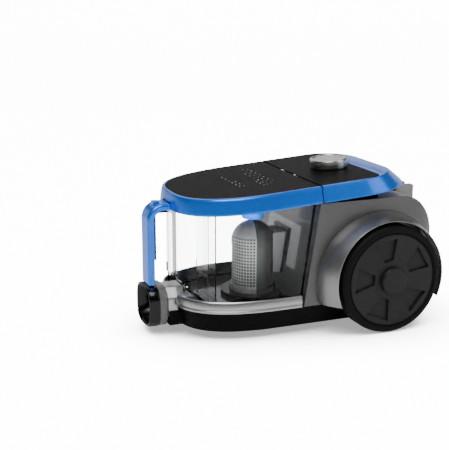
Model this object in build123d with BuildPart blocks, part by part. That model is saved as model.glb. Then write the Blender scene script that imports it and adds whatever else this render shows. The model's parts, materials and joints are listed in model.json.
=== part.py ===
from build123d import *
import math
import os

os.makedirs("parts", exist_ok=True)

# Frame: +X runs to the rear, the hose inlet faces -X, +Y is the right-hand side, +Z is up, floor at zero.

# Overall sizes
overall_length = 412.0
deck_height = 205.5          # top face at the seam between lid and body
deck_tilt = 3.9              # the top face rises to the rear, degrees
body_half_width = 95.0       # flat sides between the wheels
ground_clearance = 12.0
base_top = 40.0
band_top = 56.5

# Main divisions along the length
nose_reach = 44.0            # inlet mouth to the front of the dust bin
bin_length = 174.0           # front of the dust bin to the seam
rear_overhang = 100.0        # wheel axle to the rearmost face
seam_gap = 2.8
front_x = -overall_length / 2
rear_x = overall_length / 2
bin_front = front_x + nose_reach
seam_x = bin_front + bin_length
axle_x = rear_x - rear_overhang

# Walls, fits and clearances
wall = 3.0
clear_wall = 2.5
part_gap = 0.5               # between fixed neighbours that do not touch
free_gap = 2.0               # between the lift-off bin and the body
running = 0.05               # radial clearance of a shaft
pin_slot = 0.4

# Top rim and panels
rim_height = 22.0
rim_edge = 4.5               # rim seen from above, outside the panel
rim_flare = 4.0              # how far the rim spreads to its lower edge
panel_thickness = 2.5
web_thickness = 2.5
panel_half = body_half_width
panel_front = 176.0          # all measured from the seam along the deck
nose_sweep = 134.0
panel_rear = 96.0
panel_corner = 16.0
grip_top = 33.0              # flat top of the rear grip
grip_slope = 27.0            # sloping back of the rear grip
nose_power = 2.7
grip_corner = 62.0
grip_corner_low = 84.0
grip_skin = 4.0
grip_inset = 15.0
pocket_grow = 2.0
panel_fit = 0.2
plug_radius = 9.0
knuckle_drop = 1.5           # hinge line below the deck, at the seam
knuckle_radius = 1.8
knuckle_length = 8.0
pin_radius = 0.8
hinge_arm = 3.8              # from the hinge line to the bin back
hinge_arm_rear = hinge_arm / 3
hinge_arm_front = hinge_arm / 4
hinge_arm_top = 3.0
hinge_arm_foot = 15.0
hinge_sides = (-28.0, 12.0)  # where each hinge starts across the lid
lid_edge = 0.28 * seam_gap
body_edge = seam_gap - lid_edge
seal_in = 2.0
seal_width = 5.0
seal_rear = 5.5
seal_play = 0.2
deck_half = 86.0

# Dust bin
bin_half = 92.5
bin_floor_z = 36.0
bin_step = 4.0               # the foot of the bin is narrower, to sit in the tray
bin_step_z = 41.0
bin_top_drop = 9.0           # bin edge below the deck
bin_lean = 8.0               # degrees, like the next
shell_lean = 8.9
lean_height = 190.0
bin_back_x = seam_x - 3.0    # at lean_height
notch_half = 31.0
notch_height = 74.0
filter_x = seam_x - 56.0
filter_radius = 30.0
filter_wall = 1.5
filter_bottom = 44.0
filter_straight = 69.0
mesh_hole = 4.2
mesh_pitch = 7.0
mesh_rows = 9
mesh_columns = 9
mesh_step = 22.0             # degrees
base_skirt = 15.0
base_collar = 8.0
outlet_half = 18.0
outlet_low = 72.0
outlet_high = 124.0
riser_x = seam_x - 132.0
riser_depth = 12.0
riser_half = 24.0
riser_top = 176.0
port_rise = 15.0
port_width = 38.0
port_length = 22.0
port_corner = 5.0
port_lip = 2.0

# Bin handle
handle_width = 32.0
handle_thickness = 9.0
handle_face = front_x + 4.0
handle_low = 69.0
handle_high = 180.0
handle_bend = 22.0
frame_wall = 3.0
finger_gap = 22.5
screw_head = 2.6
screw_shank = 1.3
screw_pitch = 33.0
screw_cap = 1.2
handle_round = 4.0
button_size = 8.5
button_x = handle_face + 15.2
button_depth = 7.5
button_travel = 2.5
button_round = 1.0
button_reach = 1.0           # past the middle of the slot

# Hose inlet
inlet_z = 39.0
mouth_width = 56.0
mouth_height = 54.0
mouth_cut = 14.0             # corner cut of the octagon
collar_length = 15.0
sleeve_length = 13.0
bore_radius = 22.5
duct_inset = 2.0
duct_reach = 76.0            # mouth to the far end of the duct
duct_bore = 17.0
duct_straight = 24.0
duct_depth = 27.0            # passage from the slope down to the bore
duct_low = 18.0
mouth_bevel = 1.5
mouth_round = 4.0
sleeve_inset = 3.0
ring_inset = 0.8
neck_half = 29.0
neck_top = 33.0

# Base, tray and band
base_front = bin_front - 6.0
base_tuck = 9.0              # the base narrows this much to its floor
base_rear = 10.0
base_corner = 45.0
tray_thickness = 2.5
band_thickness = 3.3
band_proud = 1.0
band_spread = 1.5
band_end = 24.0

# Wheels
wheel_radius = 75.0
tyre_width = 34.0
wheel_gap = 3.0              # body side to tyre
disc_radius = 63.0
hub_radius = 18.5
hub_rise = 6.0
axle_radius = 6.0
pocket_count = 5
pocket_depth = 4.0
pocket_turn = -103.0
pocket_centre = 41.0
pocket_wide = 36.0
pocket_deep = 28.0
pocket_slant = 68.0
tyre_round = 6.0
hub_round = 3.0
wheel_inner = body_half_width + wheel_gap
wheel_outer = wheel_inner + tyre_width
fender_gap = 4.5
fender_band = 19.0
fender_end = wheel_outer - 4.0

# Front caster
caster_x = seam_x - 128.0
caster_wheel_radius = 12.0
caster_wheel_width = 9.0
caster_round = 1.5
caster_trail = 6.0
caster_pocket = 27.0
caster_stem = 4.0
caster_plate = 16.0
cheek_half = 5.0
fork_foot = 1.0

# Knob
knob_u = 62.0
knob_radius = 27.0
knob_height = 13.3
knob_dish = 1.2
shaft_radius = 3.0
control_radius = 11.0
control_height = 14.0
knob_lift = 1.0
knob_bevel = 1.5
knob_ring = 4.0
knob_socket = 8.0
shaft_gap = 1.0

# Body shell and what it holds
shell_top = 181.0
shell_offset = 6.0
haunch_start = 34.0          # behind the axle
haunch_x = (170.0, 187.0, 199.0)
haunch_z = (168.0, 146.0, 122.0)
tail_top = 99.0
tail_low = 56.0
tail_tuck = 6.0
tail_corner = 45.0
scoop_length = 60.0
scoop_half = 58.0
scoop_floor = 152.0
fender_skin = 4.0
fender_low = 43.0
fender_rear = rear_x - 8.0
cord_y = 62.0
cord_z = 78.0
gland_radius = 8.0
gland_hole = 4.0
board_start = 20.0
board_length = 60.0
board_half = 30.0
board_z = 184.0
board_thickness = 1.6
board_chips = 4
chip_size = 8.0
chip_pitch = 14.0
chip_height = 3.0
motor_radius = 48.0
motor_y = -34.0
motor_z = 92.0
motor_front = seam_x + 38.0
fan_length = 36.0
can_radius = 38.0
can_length = 66.0
reel_radius = 58.0
reel_width = 46.0
reel_y = 55.0
reel_x = seam_x + 92.0
reel_z = 88.0
window_half = 52.0
window_low = 78.0
window_high = 140.0
foam_depth = 12.0
grille_half = 40.0
grille_low = 62.0
grille_high = 96.0
grille_thickness = 3.0
slat_count = 6
axle_inner = 86.0
axle_flange = 12.0
axle_play = 3.0
fan_radius = 40.0
fan_hub = 9.0
fan_blades = 9
fan_skin = 2.0
fan_sweep = 30.0
cord_slot = 6.0
slat_share = 0.4
motor_inlet = 18.0
motor_shaft_radius = 3.0
bearing_radius = 8.0
bearing_width = 6.0
drum_radius = 50.0
drum_core = 24.0
drum_flange = 2.5
reel_axle_radius = 5.0
bracket_start = rear_x - 30.0
bracket_end = rear_x - 1.0
bracket_half = 17.0
bracket_low = 150.0
bracket_high = 177.0
slot_half = 6.0
slot_depth = 16.0
cup_wall = 2.0
cup_top = 33.0
fork_play = 0.7
fork_cheek = 3.0
fork_axle = 2.0

far = 600.0                  # longer than anything cut with it
deck_tool = 60.0             # depth of the blocks that trim parts at the deck

# Shared planes, outlines and blocks
tilt = math.radians(deck_tilt)
deck = Plane(
    origin=(seam_x, 0, deck_height),
    x_dir=(math.cos(tilt), 0, math.sin(tilt)),
    z_dir=(-math.sin(tilt), 0, math.cos(tilt)),
)


def deck_z(x, drop=0.0):
    """Height of the deck plane, less a drop, above the place x."""
    return deck_height + (x - seam_x) * math.tan(tilt) - drop / math.cos(tilt)


def lean_plane(x, degrees):
    """Plane that leans back through x at lean_height; its normal points to the rear."""
    lean = math.radians(degrees)
    return Plane(origin=(x, 0, lean_height), x_dir=(0, 1, 0), z_dir=(math.cos(lean), 0, -math.sin(lean)))


def bin_back(shift):
    return lean_plane(bin_back_x + shift, bin_lean)


def shell_front(shift):
    return lean_plane(bin_back_x + shell_offset + shift, shell_lean)


def nose_points(front, full, half, steps=7):
    """Quarter of a superellipse from the front point to the full width."""
    points = []
    for i in range(steps + 1):
        t = math.pi / 2 * i / steps
        x = full - (full - front) * math.cos(t) ** (2 / nose_power)
        points.append((x, half * math.sin(t) ** (2 / nose_power)))
    return points


def plan_face(front, full, half, rear, corner):
    """Plan outline: superellipse nose, straight sides, rounded rear corners."""
    with BuildSketch() as plan:
        with BuildLine():
            nose = Spline(nose_points(front, full, half), tangents=[(0, 1), (1, 0)])
            side = Line(nose @ 1, (rear - corner, half))
            bend = RadiusArc(side @ 1, (rear, half - corner), corner)
            Line(bend @ 1, (rear, 0))
            mirror(about=Plane.XZ)
        make_face()
    return plan.sketch


def deck_plan(inset, rear, corner):
    """Plan outline in deck coordinates, drawn inside the panel edge by inset."""
    front = -panel_front + inset
    return plan_face(front, front + nose_sweep - inset, panel_half - inset, rear, corner)


def octagon_face(inset):
    """Mouth outline: a rectangle with cut corners, width along x and height along y."""
    w = mouth_width / 2 - inset
    h = mouth_height / 2 - inset
    c = mouth_cut - inset / 2
    with BuildSketch() as face:
        with BuildLine():
            Polyline(
                (w - c, h), (w, h - c), (w, c - h), (w - c, -h),
                (c - w, -h), (-w, c - h), (-w, h - c), (c - w, h), close=True,
            )
        make_face()
        fillet(face.vertices(), mouth_round)
    return face.sketch


def save(builder, name):
    builder.part.label = name
    export_step(builder.part, f"parts/{name}.step")


# Top rim: one flared blank, cut at the seam into the lid rim and the body rim
def rim_blank():
    with BuildPart() as blank:
        with BuildSketch(deck):
            add(deck_plan(-rim_edge, panel_rear + grip_top, grip_corner))
        with BuildSketch(deck.offset(-rim_height)):
            add(deck_plan(-rim_edge - rim_flare, panel_rear + grip_top + grip_slope, grip_corner_low))
        loft()
    return blank.part


def deck_block(u0, u1, half, high, low):
    """Block in deck coordinates between two stations along it and two depths below it."""
    with BuildPart() as block:
        with BuildSketch(deck.offset(-low)):
            with Locations(((u0 + u1) / 2, 0)):
                Rectangle(u1 - u0, 2 * half)
        extrude(amount=low - high)
    return block.part


def deck_disc(u, radius, high, low):
    """Round post in deck coordinates between two depths."""
    with BuildPart() as disc:
        with BuildSketch(deck.offset(-low)):
            with Locations((u, 0)):
                Circle(radius)
        extrude(amount=low - high)
    return disc.part


def box_part(x0, x1, half, z0, z1, y=0.0):
    """Upright block, symmetric about y."""
    with BuildPart() as box:
        with BuildSketch(Plane.XY.offset(z0)):
            with Locations(((x0 + x1) / 2, y)):
                Rectangle(x1 - x0, 2 * half)
        extrude(amount=z1 - z0)
    return box.part


def hinge_barrels(radius, shift, length):
    """Short cylinders along Y on the lid hinge line, one for each side."""
    start = deck.offset(-knuckle_drop).origin
    with BuildPart() as barrels:
        for side in hinge_sides:
            with BuildSketch(Plane(start + Vector(0, side + shift, 0), x_dir=(1, 0, 0), z_dir=(0, 1, 0))):
                Circle(radius)
            extrude(amount=length)
    return barrels.part


def along_x(x0, x1, y, z, radius, hole=0.0):
    """Round bar or ring along X."""
    with BuildPart() as bar:
        with BuildSketch(Plane.YZ.offset(x0)):
            with Locations((y, z)):
                Circle(radius)
                if hole:
                    Circle(hole, mode=Mode.SUBTRACT)
        extrude(amount=x1 - x0)
    return bar.part


def along_y(y0, y1, x, z, radius, hole=0.0):
    """Round bar or ring along Y."""
    with BuildPart() as bar:
        with BuildSketch(Plane((x, y0, z), x_dir=(1, 0, 0), z_dir=(0, 1, 0))):
            Circle(radius)
            if hole:
                Circle(hole, mode=Mode.SUBTRACT)
        extrude(amount=y1 - y0)
    return bar.part


def along_z(x, z0, z1, radius, hole=0.0, y=0.0):
    """Round bar or ring along Z."""
    with BuildPart() as bar:
        with BuildSketch(Plane.XY.offset(z0)):
            with Locations((x, y)):
                Circle(radius)
                if hole:
                    Circle(hole, mode=Mode.SUBTRACT)
        extrude(amount=z1 - z0)
    return bar.part


def hinge_blocks(shift, reach, high, low, slack=0.0):
    """Blocks in front of the hinge line, one beside each barrel."""
    with BuildPart() as blocks:
        for side in hinge_sides:
            with BuildSketch(deck.offset(-low)):
                with Locations((-reach / 2, side + shift + knuckle_length / 2 + slack)):
                    Rectangle(reach, knuckle_length + 2 * slack)
            extrude(amount=low - high)
    return blocks.part


web_low = panel_thickness + web_thickness
plug_bottom = filter_bottom + filter_straight + filter_radius + free_gap
both_knuckles = 2 * knuckle_length

with BuildPart() as lid_rim:
    add(rim_blank())
    add(deck_block(-lid_edge, far, far, -deck_tool, deck_tool), mode=Mode.SUBTRACT)
    with BuildSketch(deck):
        add(deck_plan(0, panel_rear, panel_corner))
    extrude(amount=-panel_thickness, mode=Mode.SUBTRACT)
    with BuildSketch(deck.offset(-rim_height)):
        add(deck_plan(-pocket_grow, panel_rear, panel_corner))
    extrude(amount=rim_height - web_low, mode=Mode.SUBTRACT)
    with BuildSketch(Plane.YZ.offset(handle_face - wall)):
        with Locations((0, handle_high + part_gap - rim_height)):
            Rectangle(handle_width + 2 * free_gap, 2 * rim_height)
    extrude(amount=bin_front - handle_face + wall, mode=Mode.SUBTRACT)
    add(deck_disc(filter_x - seam_x, plug_radius, web_low, deck_z(filter_x) - plug_bottom))
    add(hinge_blocks(0, hinge_arm_rear, panel_thickness, web_low))
    add(hinge_barrels(knuckle_radius, 0, knuckle_length))
    add(
        hinge_blocks(knuckle_length, hinge_arm + 2 * pin_slot, -pin_slot, rim_height, pin_slot),
        mode=Mode.SUBTRACT,
    )
    add(hinge_barrels(pin_radius + running, -pin_slot, both_knuckles), mode=Mode.SUBTRACT)
save(lid_rim, "lid_rim")

with BuildPart() as lid_panel:
    with BuildSketch(deck.offset(-panel_thickness)):
        add(deck_plan(panel_fit, panel_rear, panel_corner))
    extrude(amount=panel_thickness)
    add(deck_block(-lid_edge - panel_fit, far, far, -deck_tool, deck_tool), mode=Mode.SUBTRACT)
    add(hinge_barrels(knuckle_radius + pin_slot, -pin_slot, both_knuckles + 3 * pin_slot), mode=Mode.SUBTRACT)
save(lid_panel, "lid_panel")

with BuildPart() as lid_seal:
    with BuildSketch(deck.offset(-bin_top_drop + seal_play)):
        add(
            plan_face(
                -panel_front + seal_in, -panel_front + nose_sweep, panel_half - seal_in, -seal_rear, wall,
            )
        )
        inner = seal_in + seal_width
        add(
            plan_face(
                -panel_front + inner, -panel_front + nose_sweep,
                panel_half - inner, -seal_rear - seal_width, wall
            ),
            mode=Mode.SUBTRACT,
        )
    extrude(amount=bin_top_drop - seal_play - web_low)
save(lid_seal, "lid_seal")

# Body rim with the rear grip, and its panel
with BuildPart() as body_rim:
    add(rim_blank())
    add(deck_block(-far, body_edge, far, -deck_tool, deck_tool), mode=Mode.SUBTRACT)
    with BuildSketch(deck):
        add(deck_plan(0, panel_rear, panel_corner))
    extrude(amount=-panel_thickness, mode=Mode.SUBTRACT)
    add(
        deck_block(body_edge + wall, panel_rear - wall, panel_half + pocket_grow, web_low, rim_height),
        mode=Mode.SUBTRACT,
    )
    add(
        deck_block(
            panel_rear + wall, panel_rear + grip_top - wall, panel_half - grip_inset, grip_skin, rim_height,
        ),
        mode=Mode.SUBTRACT,
    )
    add(deck_disc(knob_u, shaft_radius + shaft_gap, -deck_tool, web_low + wall), mode=Mode.SUBTRACT)
save(body_rim, "body_rim")

with BuildPart() as body_panel:
    with BuildSketch(deck.offset(-panel_thickness)):
        add(deck_plan(panel_fit, panel_rear - panel_fit, panel_corner))
    extrude(amount=panel_thickness)
    add(deck_block(-far, body_edge + panel_fit, far, -deck_tool, deck_tool), mode=Mode.SUBTRACT)
    add(deck_disc(knob_u, shaft_radius + shaft_gap, -deck_tool, deck_tool), mode=Mode.SUBTRACT)
save(body_panel, "body_panel")

with BuildPart() as lid_hinge_pins:
    add(hinge_barrels(pin_radius, 0, both_knuckles + pin_slot))
save(lid_hinge_pins, "lid_hinge_pins")

# Knob, its shaft and the control below it
with BuildPart() as speed_knob:
    add(deck_disc(knob_u, knob_radius, -knob_height, -knob_lift))
    chamfer(speed_knob.edges().filter_by(GeomType.CIRCLE).sort_by(Axis.Z)[-1], knob_bevel)
    add(
        deck_disc(knob_u, knob_radius - knob_ring, -knob_height, -knob_height + knob_dish),
        mode=Mode.SUBTRACT,
    )
    add(deck_disc(knob_u, shaft_radius, -knob_socket, -knob_lift), mode=Mode.SUBTRACT)
save(speed_knob, "speed_knob")

with BuildPart() as knob_shaft:
    add(deck_disc(knob_u, shaft_radius, -knob_socket, web_low + control_height - wall))
save(knob_shaft, "knob_shaft")

with BuildPart() as speed_control:
    add(deck_disc(knob_u, control_radius, web_low, web_low + control_height))
    add(
        deck_disc(knob_u, shaft_radius + running, 0, web_low + control_height - wall + part_gap),
        mode=Mode.SUBTRACT,
    )
save(speed_control, "speed_control")

with BuildPart() as top_deck:
    add(deck_block(body_edge + free_gap + wall, panel_rear - free_gap - wall, deck_half, web_low, deck_tool))
    add(
        deck_block(
            body_edge + free_gap + 2 * wall, panel_rear - free_gap - 2 * wall, deck_half - wall, 0, deck_tool,
        ),
        mode=Mode.SUBTRACT,
    )
    add(box_part(-far, far, far, 0, shell_top), mode=Mode.SUBTRACT)
save(top_deck, "top_deck")

board_top = board_z + board_thickness

with BuildPart() as control_board:
    add(box_part(seam_x + board_start, seam_x + board_start + board_length, board_half, board_z, board_top))
    for step in range(board_chips):
        chip_x = seam_x + board_start + wall + step * chip_pitch
        add(box_part(chip_x, chip_x + chip_size, chip_size / 2, board_top, board_top + chip_height))
save(control_board, "control_board")


# Dust bin: a clear cup that leans back against the body, with a notch over the inlet duct
def bin_prism(inset, low):
    with BuildPart() as prism:
        with BuildSketch(Plane.XY.offset(low)):
            add(plan_face(bin_front + inset, bin_front + nose_sweep, bin_half - inset, seam_x + wall, wall))
        extrude(amount=deck_height)
        add(deck_block(-far, far, far, -deck_height, bin_top_drop), mode=Mode.SUBTRACT)
        split(bisect_by=bin_back(-inset), keep=Keep.BOTTOM)
    return prism.part


def notch_wedge(grow):
    """Prism under the slope x + z = bin_front + notch_height, over the duct."""
    slope = bin_front + notch_height + grow * math.sqrt(2)
    start = front_x - wall
    with BuildPart() as wedge:
        with BuildSketch(Plane.XZ):
            with BuildLine():
                Polyline((start, 0), (slope, 0), (start, slope - start), close=True)
            make_face()
        extrude(amount=notch_half + grow, both=True)
    return wedge.part


port_z = inlet_z + port_rise
port_plane = Plane(
    (bin_front + notch_height - port_z, 0, port_z), x_dir=(0, 1, 0), z_dir=(math.sqrt(0.5), 0, math.sqrt(0.5))
)


def port_block(grow, back, ahead):
    """Rounded passage square to the slope, from back behind it to ahead in front of it."""
    with BuildPart() as port:
        with BuildSketch(port_plane.offset(-back)):
            RectangleRounded(port_width + 2 * grow, port_length + 2 * grow, port_corner + grow)
        extrude(amount=back + ahead)
    return port.part


bin_floor_top = bin_floor_z + clear_wall

def bin_hollow():
    """Inside of the bin, clear of the wall over the notch."""
    with BuildPart() as hollow:
        add(bin_prism(clear_wall, bin_step_z + clear_wall))
        add(bin_prism(bin_step + clear_wall, bin_floor_top))
        add(notch_wedge(clear_wall), mode=Mode.SUBTRACT)
    return hollow.part


with BuildPart() as bin_shell:
    add(bin_prism(0, bin_step_z))
    add(bin_prism(bin_step, bin_floor_z))
    add(notch_wedge(0), mode=Mode.SUBTRACT)
    add(bin_hollow(), mode=Mode.SUBTRACT)
    add(hinge_blocks(knuckle_length + pin_slot, hinge_arm, hinge_arm_top, hinge_arm_foot))
    add(hinge_blocks(knuckle_length + pin_slot, hinge_arm_front, knuckle_drop, hinge_arm_top))
    add(hinge_barrels(knuckle_radius, knuckle_length + pin_slot, knuckle_length))
    add(hinge_barrels(pin_radius, knuckle_length, knuckle_length + 2 * pin_slot), mode=Mode.SUBTRACT)
    add(port_block(0, clear_wall, 2 * clear_wall), mode=Mode.SUBTRACT)
    add(box_part(filter_x, seam_x, outlet_half, outlet_low, outlet_high), mode=Mode.SUBTRACT)
save(bin_shell, "bin_shell")

with BuildPart() as filter_base:
    add(along_z(filter_x, bin_floor_top, filter_bottom, filter_radius + base_skirt))
    add(
        along_z(
            filter_x, filter_bottom, filter_bottom + base_collar,
            filter_radius + wall, filter_radius + pin_slot,
        )
    )
    add(along_z(filter_x, bin_floor_top, filter_bottom, filter_radius - wall), mode=Mode.SUBTRACT)
    add(bin_hollow(), mode=Mode.INTERSECT)
save(filter_base, "filter_base")


def dome_face(radius):
    """Half section of a round-topped cylinder, in the XZ plane."""
    shoulder = filter_bottom + filter_straight
    with BuildSketch(Plane.XZ) as section:
        with BuildLine():
            Line((filter_x, filter_bottom), (filter_x + radius, filter_bottom))
            Line((filter_x + radius, filter_bottom), (filter_x + radius, shoulder))
            RadiusArc((filter_x + radius, shoulder), (filter_x, shoulder + radius), -radius)
            Line((filter_x, shoulder + radius), (filter_x, filter_bottom))
        make_face()
    return section.sketch


with BuildPart() as mesh_filter:
    add(dome_face(filter_radius))
    revolve(axis=Axis((filter_x, 0, 0), (0, 0, 1)))
    add(dome_face(filter_radius - filter_wall))
    revolve(axis=Axis((filter_x, 0, 0), (0, 0, 1)), mode=Mode.SUBTRACT)
    add(box_part(filter_x, seam_x, outlet_half, outlet_low, outlet_high), mode=Mode.SUBTRACT)
    for row in range(mesh_rows):
        hole_z = filter_bottom + base_collar + mesh_pitch * (row + 0.5)
        for column in range(mesh_columns):
            turn = 180 + (column - (mesh_columns - 1) / 2) * mesh_step
            hole = Plane((filter_x, 0, hole_z), x_dir=(0, 0, 1), z_dir=Vector(1, 0, 0).rotate(Axis.Z, turn))
            with BuildSketch(hole.offset(filter_radius - 2 * wall)):
                Rectangle(mesh_hole, mesh_hole)
    extrude(amount=3 * wall, mode=Mode.SUBTRACT)
save(mesh_filter, "mesh_filter")

with BuildPart() as outlet_duct:
    add(
        box_part(
            filter_x + filter_radius / 2, seam_x, outlet_half + clear_wall, outlet_low - clear_wall,
            outlet_high + clear_wall,
        )
    )
    add(box_part(filter_x, seam_x, outlet_half, outlet_low, outlet_high), mode=Mode.SUBTRACT)
    add(along_z(filter_x, bin_floor_z, shell_top, filter_radius + pin_slot), mode=Mode.SUBTRACT)
    split(bisect_by=bin_back(-clear_wall), keep=Keep.BOTTOM)
save(outlet_duct, "outlet_duct")

with BuildPart() as inlet_riser:
    add(box_part(riser_x, riser_x + riser_depth, riser_half, bin_floor_top, riser_top))
    add(
        box_part(
            riser_x + filter_wall, riser_x + riser_depth - filter_wall,
            riser_half - filter_wall, 0, deck_height
        ),
        mode=Mode.SUBTRACT,
    )
    add(
        box_part(riser_x - wall, riser_x + wall, riser_half - wall, bin_floor_top + wall, notch_height),
        mode=Mode.SUBTRACT,
    )
save(inlet_riser, "inlet_riser")

# Bin handle with its clear liner, screws and release button
handle_back = handle_face + handle_thickness
handle_in = handle_high - handle_thickness
screw_levels = [handle_low + handle_thickness + frame_wall + k * screw_pitch for k in range(3)]


def handle_screw_set(radius, head):
    """Three shanks into the handle, with round heads inside the grip opening."""
    with BuildPart() as screws:
        for level in screw_levels:
            add(along_x(handle_face + wall, handle_back + frame_wall, 0, level, radius))
            if head:
                add(along_x(handle_back + frame_wall, handle_back + frame_wall + screw_cap, 0, level, head))
    return screws.part


button_top = handle_high + button_travel


def button_block(gap, low, high):
    half = button_size / 2 + gap
    return box_part(button_x - half, button_x + half, half + button_reach, low, high)


with BuildPart() as bin_handle:
    with BuildSketch(Plane.XZ):
        with BuildLine():
            Line((handle_back, handle_low), (handle_face, handle_low))
            Line((handle_face, handle_low), (handle_face, handle_high - handle_bend))
            RadiusArc(
                (handle_face, handle_high - handle_bend),
                (handle_face + handle_bend, handle_high), handle_bend
            )
            Line((handle_face + handle_bend, handle_high), (bin_front + wall, handle_high))
            Line((bin_front + wall, handle_high), (bin_front + wall, handle_in))
            Line((bin_front + wall, handle_in), (handle_face + handle_bend, handle_in))
            RadiusArc(
                (handle_face + handle_bend, handle_in), (handle_back, handle_high - handle_bend),
                -(handle_bend - handle_thickness),
            )
            Line((handle_back, handle_high - handle_bend), (handle_back, handle_low))
        make_face()
    extrude(amount=handle_width / 2, both=True)
    fillet(bin_handle.edges().filter_by(Axis.Z).group_by(Axis.X)[0], handle_round)
    add(bin_prism(0, 0), mode=Mode.SUBTRACT)
    add(handle_screw_set(screw_shank, 0), mode=Mode.SUBTRACT)
    add(button_block(pin_slot, handle_in, handle_high + wall), mode=Mode.SUBTRACT)
save(bin_handle, "bin_handle")

with BuildPart() as handle_frame:
    frame_low = handle_low + wall
    frame_mid = (handle_back + bin_front + wall) / 2
    frame_span = bin_front + wall - handle_back
    with BuildSketch(Plane.XZ):
        with Locations((frame_mid, (frame_low + handle_in) / 2)):
            Rectangle(frame_span, handle_in - frame_low)
        corner = (handle_face + handle_bend, handle_high - handle_bend)
        with Locations(((handle_back + corner[0]) / 2, (corner[1] + handle_in) / 2)):
            Rectangle(corner[0] - handle_back, handle_in - corner[1], mode=Mode.SUBTRACT)
        with Locations(corner):
            Circle(handle_bend - handle_thickness)
        with Locations((handle_back + frame_wall + finger_gap / 2, (frame_low + handle_in) / 2)):
            RectangleRounded(
                finger_gap, handle_in - frame_low - 2 * frame_wall, handle_round, mode=Mode.SUBTRACT,
            )
    extrude(amount=handle_width / 2 - free_gap, both=True)
    add(bin_prism(0, 0), mode=Mode.SUBTRACT)
    add(notch_wedge(0), mode=Mode.SUBTRACT)
    add(handle_screw_set(screw_shank, 0), mode=Mode.SUBTRACT)
save(handle_frame, "handle_frame")

with BuildPart() as handle_screws:
    add(handle_screw_set(screw_shank, screw_head))
save(handle_screws, "handle_screws")

with BuildPart() as release_button:
    add(button_block(0, button_top - button_depth, button_top))
    fillet(release_button.edges().group_by(Axis.Z)[-1], button_round)
save(release_button, "release_button")

# Hose inlet: collar, grey ring, silver duct and gasket
inlet_plane = Plane((front_x, 0, inlet_z), x_dir=(0, 1, 0), z_dir=(1, 0, 0))
duct_start = collar_length + sleeve_length


def inlet_prism(inset, start, length):
    with BuildPart() as prism:
        with BuildSketch(inlet_plane.offset(start)):
            add(octagon_face(inset))
        extrude(amount=length)
    return prism.part


with BuildPart() as inlet_collar:
    add(inlet_prism(0, 0, collar_length))
    chamfer(inlet_collar.faces().sort_by(Axis.X)[0].edges(), mouth_bevel)
    add(inlet_prism(sleeve_inset, collar_length, sleeve_length))
    with BuildSketch(inlet_plane):
        Circle(bore_radius)
    extrude(amount=duct_start, mode=Mode.SUBTRACT)
save(inlet_collar, "inlet_collar")

with BuildPart() as inlet_ring:
    add(inlet_prism(ring_inset, collar_length, sleeve_length - free_gap))
    add(inlet_prism(sleeve_inset, collar_length, sleeve_length), mode=Mode.SUBTRACT)
save(inlet_ring, "inlet_ring")

def duct_wedge():
    """Everything in front of the slope that the bin notch keeps clear of."""
    slope = bin_front + notch_height - free_gap * math.sqrt(2)
    with BuildPart() as wedge:
        with BuildSketch(Plane.XZ):
            with BuildLine():
                Polyline(
                    (slope, 0), (slope - deck_height, deck_height),
                    (-far, deck_height), (-far, 0), close=True,
                )
            make_face()
        extrude(amount=notch_half, both=True)
    return wedge.part


with BuildPart() as inlet_duct:
    add(inlet_prism(duct_inset, duct_start, duct_reach - duct_start))
    add(duct_wedge(), mode=Mode.INTERSECT)
    add(box_part(front_x, bin_front + far, far, 0, duct_low), mode=Mode.SUBTRACT)
    add(along_z(caster_x, 0, cup_top + part_gap, caster_pocket + part_gap), mode=Mode.SUBTRACT)
    with BuildSketch(inlet_plane.offset(duct_start)):
        Circle(duct_bore)
    extrude(amount=duct_straight, mode=Mode.SUBTRACT)
    add(port_block(-port_lip, duct_depth, 0), mode=Mode.SUBTRACT)
save(inlet_duct, "inlet_duct")

with BuildPart() as inlet_gasket:
    add(port_block(port_lip, free_gap, -pin_slot))
    add(port_block(-port_lip, free_gap, 0), mode=Mode.SUBTRACT)
save(inlet_gasket, "inlet_gasket")


# Black base tray with the neck that carries the duct
def base_loft(inset, low):
    """Tray shape between the floor plate and the base top, drawn inside its own wall by inset."""
    with BuildPart() as tray:
        for level, side in ((low, base_tuck), (base_top, 0.0)):
            with BuildSketch(Plane.XY.offset(level)):
                add(
                    plan_face(
                        base_front + side + inset, base_front + nose_sweep, body_half_width - side - inset,
                        rear_x - base_rear - side - inset, base_corner,
                    )
                )
        loft()
    return tray.part


def duct_space():
    """Room for the duct in the neck, down to just below it."""
    with BuildPart() as space:
        add(inlet_prism(duct_inset - part_gap, 0, duct_reach + part_gap))
        add(box_part(-far, far, far, 0, duct_low - part_gap), mode=Mode.SUBTRACT)
    return space.part


with BuildPart() as lower_base:
    add(base_loft(0, ground_clearance))
    add(base_loft(wall, ground_clearance + wall), mode=Mode.SUBTRACT)
    add(
        box_part(
            front_x + duct_start + part_gap, front_x + duct_reach + wall,
            neck_half, ground_clearance + free_gap,
            neck_top,
        )
    )
    add(duct_space(), mode=Mode.SUBTRACT)
    add(along_z(caster_x, 0, base_top, caster_pocket), mode=Mode.SUBTRACT)
save(lower_base, "lower_base")

tray_top = bin_floor_z - part_gap

with BuildPart() as bin_tray:
    add(base_loft(wall, ground_clearance + wall))
    add(box_part(-far, seam_x - band_end, far, tray_top - tray_thickness, tray_top), mode=Mode.INTERSECT)
    add(box_part(front_x, front_x + duct_reach + wall, notch_half, 0, base_top), mode=Mode.SUBTRACT)
save(bin_tray, "bin_tray")


band_inner = body_half_width + band_proud - wall / 2


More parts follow.
